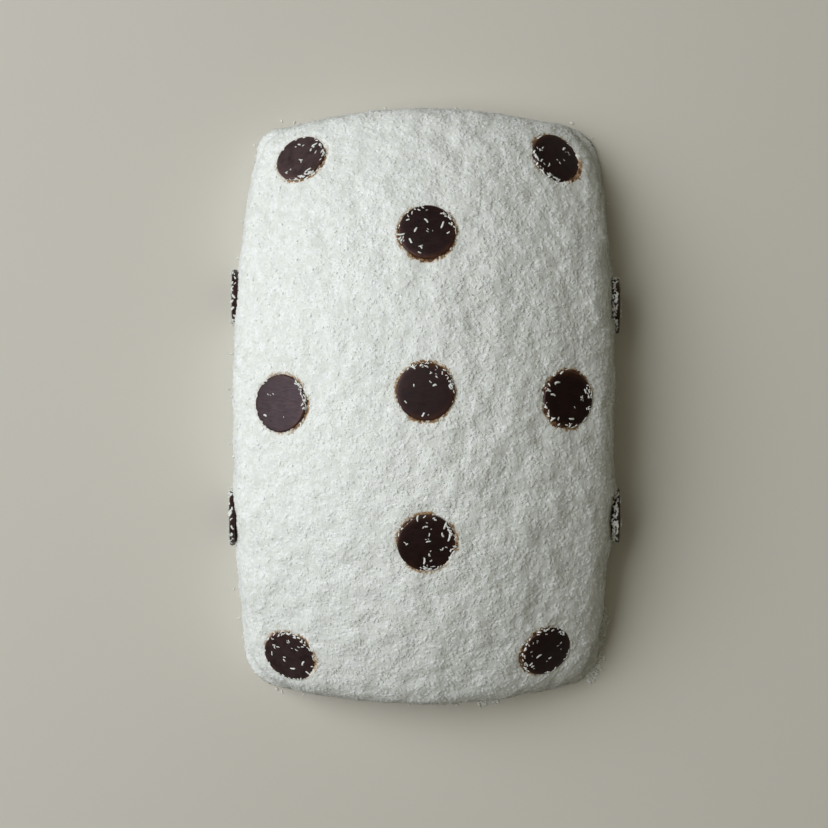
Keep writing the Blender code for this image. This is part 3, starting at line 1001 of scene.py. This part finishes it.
heapFlakes = {
    "length": (0.9, 2.2),       # mm
    "whiteFrom": 2.7,           # shorter ones are greyer
}
discFlakes = {
    "disc_top_left": {
        "long": ((7, 7, 20, 3.6), (12, 2, -35, 3.6), (4, -7, 35, 4.9), (3, -11, 30, 3.6),
                 (7, -9, 15, 4.3)),
        "heaps": ((28, 8, 3.5, 7), (100, 5, 3.0, 3), (222, 9, 2.0, 4), (240, 3, 2.0, 3),
                  (-45, 11, 3.0, 3))},
    "disc_top_right": {
        "long": ((-10, -0.5, -65, 3.3), (-10, -4, 35, 3.3), (0, -13, -20, 3.0),
                 (4.5, 5.5, 45, 2.8), (-7.5, -2, 50, 2.6)),
        "heaps": ((150, 9.5, 1.5, 4), (225, 6, 2.0, 3), (-35, 3, 1.8, 3), (30, 7, 1.8, 3),
                  (250, 11, 2.0, 2))},
    "disc_upper_middle": {
        "long": ((-0.5, 5.5, -50, 3.3), (7.5, 3.5, 70, 4.4), (-5.5, 1, 65, 3.2),
                 (-13, -1, 0, 5.3), (-8, -4.5, -65, 3.3)),
        "heaps": ((10, 1.5, 1.5, 3), (250, 9, 3.0, 5), (140, 12, 2.0, 2), (10, 13, 3.0, 3),
                  (95, 12, 1.5, 1))},
    "disc_left": {
        "long": ((-8, -6, -25, 2.4), (14, 3.5, 40, 2.3)),
        "heaps": ((130, 8.5, 2.5, 3), (-70, 6, 1.5, 1), (10, 11, 2.0, 2))},
    "disc_centre": {
        "long": ((-5.5, 12, -60, 3.1), (-1, -11, 60, 2.7), (4.5, 3, 15, 2.4)),
        "heaps": ((60, 11, 3.0, 6), (60, 5, 1.5, 1), (150, 7, 1.0, 1), (200, 11, 2.0, 2),
                  (-85, 11, 1.5, 1))},
    "disc_right": {
        "long": ((-5.5, 8, 10, 3.3), (-9.5, 4.5, -30, 2.9), (-7.5, 2, -15, 3.3),
                 (9, 4, -62, 2.9), (2, -9.5, -5, 3.5), (-7.5, -10, 45, 3.5),
                 (-3, 13, 60, 3.2), (14, -5.5, 60, 3.5)),
        "heaps": ((150, 12, 1.5, 3), (195, 10.5, 2.0, 3), (0, 9, 2.5, 4), (-70, 6, 2.0, 1),
                  (250, 11, 2.0, 2), (120, 10, 2.0, 2))},
    "disc_lower_middle": {
        "long": ((-4, 12, 85, 3.8), (9, 8.5, 70, 4.4), (8, 4, -65, 3.0), (11, 2.5, 75, 4.4),
                 (-1, -9, 85, 3.8), (1, 0.5, 10, 2.9)),
        "heaps": ((90, 9, 2.5, 4), (90, 2.5, 2.0, 3), (185, 9, 1.5, 2), (-15, 9, 2.0, 3),
                  (-90, 6, 2.5, 3), (-85, 11, 2.5, 4), (145, 13, 2.0, 2))},
    "disc_bottom_left": {
        "long": ((-9.5, 1, 80, 3.1), (6.5, -3.5, 60, 3.6), (1, -6.5, 12, 3.3),
                 (8.5, -8.5, -45, 2.6)),
        "heaps": ((105, 10, 2.5, 3), (145, 10, 2.0, 3), (55, 5, 2.0, 3), (215, 3, 1.5, 2),
                  (40, 11, 2.0, 3), (110, 13, 1.5, 2))},
    "disc_bottom_right": {
        "long": ((-3.5, -2.5, 30, 3.8), (-7.5, -6.5, 50, 2.6), (-11.5, 4.5, 40, 3.6)),
        "heaps": ((75, 9.5, 3.0, 3), (135, 8.5, 2.0, 3), (20, 7, 2.0, 3), (190, 8, 2.0, 2),
                  (230, 9.5, 2.0, 2), (-80, 5, 2.5, 2), (90, 12, 1.0, 2))},
}


def addDiscFlakes(pile, rng, places):
    for name, flakes in discFlakes.items():
        middle = places[name][0].translation
        rows = [(*row, 1.0) for row in flakes["long"]]
        for degrees, distance, spread, count in flakes["heaps"]:
            angle = math.radians(degrees)
            for _ in range(count):
                x = math.cos(angle) * distance + rng.uniform(-spread, spread)
                y = math.sin(angle) * distance + rng.uniform(-spread, spread)
                length = rng.uniform(*heapFlakes["length"])
                shade = length / heapFlakes["whiteFrom"]
                rows.append((x, y, rng.uniform(0, 180), length, shade))
        for x, y, degrees, length, shade in rows:
            pile.layDown(middle.x + x / 1000, middle.y + y / 1000, degrees, length / 1000,
                         shade=shade)


# Pushed up round the discs on top, and over their edges

rimFlakes = {
    "count": 64,
    "reach": (-0.0003, 0.0014),
    "length": (0.0011, 0.0023),
    "turn": 55,                 # degrees out of line with the edge
    "stained": 0.7,             # share that has taken up cocoa
    "stain": (0.3, 1.0),        # and how much
    "extra": 34,                # over the edge, on the ragged arcs
    "overEdge": (-0.0022, 0.0005),
}
raggedArcs = {                  # direction and half width in degrees
    "disc_top_left": ((15, 50), (-75, 25)),
    "disc_top_right": ((185, 55), (-100, 35)),
    "disc_upper_middle": ((185, 20), (40, 20), (115, 20)),
    "disc_left": ((20, 40),),
    "disc_centre": ((25, 30), (100, 20)),
    "disc_right": ((180, 60), (0, 35), (-110, 35)),
    "disc_lower_middle": ((70, 50), (5, 30), (-85, 20)),
    "disc_bottom_left": ((95, 50), (15, 40)),
    "disc_bottom_right": ((190, 45), (80, 40)),
}


# A direction seen from above, laid into the plane of a disc
def turnedTo(matrix, way):
    normal = matrix.col[2].xyz
    return (way - Vector((0, 0, way.dot(normal) / normal.z))).normalized()


def addRimFlakes(pile, rng, places):
    for name in topDiscs:
        matrix, radius, thickness = places[name]
        for index in range(rimFlakes["count"] + rimFlakes["extra"]):
            degrees = rng.uniform(0, 360)
            reach = rng.uniform(*rimFlakes["reach"])
            if index >= rimFlakes["count"]:
                middle, half = rng.choice(raggedArcs[name])
                degrees = middle + rng.uniform(-1, 1) * half
                reach = rng.uniform(*rimFlakes["overEdge"])
            way = turnedTo(matrix, wayAt(math.radians(degrees)))
            spot = matrix.translation + way * (radius + reach)
            cocoa = 0.0
            if reach > 0 and rng.random() < rimFlakes["stained"]:
                cocoa = arcStrength(name, np.array([way]))[0]
                cocoa *= rng.uniform(*rimFlakes["stain"])
            turn = 90 + rng.uniform(-1, 1) * rimFlakes["turn"]
            pile.layDown(spot.x, spot.y, degrees + turn, rng.uniform(*rimFlakes["length"]),
                         cocoa)


# On the discs of the side walls

sideFlakes = {
    "left": (18, 34, (-0.1, 0.4), 1.0),     # on the face, on the rim, where across it, whiteness; the right's lower whiteness is painted shade, as that side lies in shadow
    "right": (12, 90, (-0.8, 0.05), 0.5),
    "length": (0.0016, 0.0032),
    "upperHalf": 0.7,           # share that lies there for sure
    "spread": (0.05, 0.95),     # over the area of the face
}


def addSideFlakes(pile, rng, places):
    for name in sideDiscs:
        matrix, radius, thickness = places[name]
        turn = matrix.to_3x3()
        # Flakes on the right-hand discs are greyer: painted shade
        onFace, onRim, across, shade = sideFlakes[
            "left" if matrix.translation.x < 0 else "right"]
        for index in range(onFace + onRim):
            angle = rng.uniform(0, 2 * math.pi)
            if rng.random() < sideFlakes["upperHalf"]:
                angle %= math.pi
            length = rng.uniform(*sideFlakes["length"])
            spin = rng.uniform(0, math.pi)
            way = wayAt(angle)
            if index < onFace:
                reach = radius * math.sqrt(rng.uniform(*sideFlakes["spread"]))
                spot = way * reach + Vector((0, 0, thickness / 2))
                normal = Vector((0, 0, 1))
                direction = wayAt(spin)
            else:
                spot = way * radius + Vector((0, 0, rng.uniform(*across) * thickness))
                normal = way
                direction = Vector((-way.y, way.x, rng.uniform(-1, 1)))
            pile.add(matrix @ spot, turn @ normal, turn @ direction, length, shade=shade)


# At the foot of the cake, most of them in a few heaps (place and size)

fallen = {
    "tries": 6000,
    "length": (0.0013, 0.0024),
    "reach": (0.0004, 0.0054),
    "crowding": 1.6,            # towards the cake
    "elsewhere": 0.010,         # share that stays outside the heaps
    "margin": 0.0030,           # round the CAD box
    "heaps": ((0.098, -0.118, 0.014), (0.092, -0.136, 0.010), (0.033, -0.154, 0.006)),
    "footHeight": (0.0002, 0.0016),
    "footSteep": 0.6,
}


def addFallenFlakes(pile, rng, coatThing):
    low, high = fallen["footHeight"]
    nearest, farthest = fallen["reach"]
    foot = [vert for vert in coatThing.data.vertices
            if low < vert.co.z < high and vert.normal.xy.length > fallen["footSteep"]]
    for _ in range(fallen["tries"]):
        vert = rng.choice(foot)
        reach = nearest + (farthest - nearest) * rng.random() ** fallen["crowding"]
        spot = vert.co + vert.normal * reach
        inHeap = any(math.dist(vert.co.xy, (x, y)) < size for x, y, size in fallen["heaps"])
        inBox = all(abs(spot[axis]) < cadBox[1][axis] + fallen["margin"] for axis in (0, 1))
        if inBox and (inHeap or rng.random() < fallen["elsewhere"]):
            pile.layDown(spot.x, spot.y, rng.uniform(0, 180), rng.uniform(*fallen["length"]))


specks = (                      # dark crumbs on the coat: place and length
    (0.0037, -0.0146, 0.0011), (0.0615, -0.0148, 0.0010), (0.0230, 0.0540, 0.0013),
    (-0.0844, -0.1169, 0.0010),
)


def addLooseFlakes(places, coatThing, discThings, material):
    pile = FlakePile([coatThing, *discThings])
    rng = random.Random(flake["seeds"]["place"])
    addDiscFlakes(pile, rng, places)
    addRimFlakes(pile, rng, places)
    for x, y, length in specks:
        pile.layDown(x, y, rng.uniform(0, 180), length, 1.0)
    addSideFlakes(pile, rng, places)
    addFallenFlakes(pile, rng, coatThing)
    mesh = meshFrom(pile.shape, "looseFlakes")
    addBakeMap(mesh)
    mesh.shade_smooth()
    mesh.materials.append(material)
    print("loose flakes:", pile.count)
    return addObject("looseFlakes", mesh)


# Assembly

addCamera()
addLights()
addFloor()
patchGroup = makePatchGroup()
toneAndShadeGroup = makeToneAndShadeGroup()
cream = makeCream(patchGroup, toneAndShadeGroup)
coconut = makeCoconut(patchGroup, toneAndShadeGroup)
chocolate = makeChocolate(patchGroup)

places = {name: placeOf(name) for name in topDiscs + sideDiscs}
discThings = {name: addDisc(name, place, chocolate) for name, place in places.items()}
print("discs:", len(discThings))
coatThing = addCoat(places, cream)

joined = bmesh.new()
for thing in discThings.values():
    joined.from_mesh(thing.data)
allDiscs = bpy.data.objects.new("allDiscs", meshFrom(joined, "allDiscs"))
ground, groundArea = makeGround(coatThing)
tree, sockets = makeScatterTree()
coconutThings = [
    addShreds(kind, ground, groundArea, allDiscs, tree, sockets, places, coconut)
    for kind in shredKinds]
coconutThings.append(addLooseFlakes(places, coatThing, discThings.values(), coconut))

for name, thing in discThings.items():
    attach(thing, "root")
    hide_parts(name)
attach(coatThing, "root")
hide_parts("cake")
for thing in coconutThings:
    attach(thing, "root")
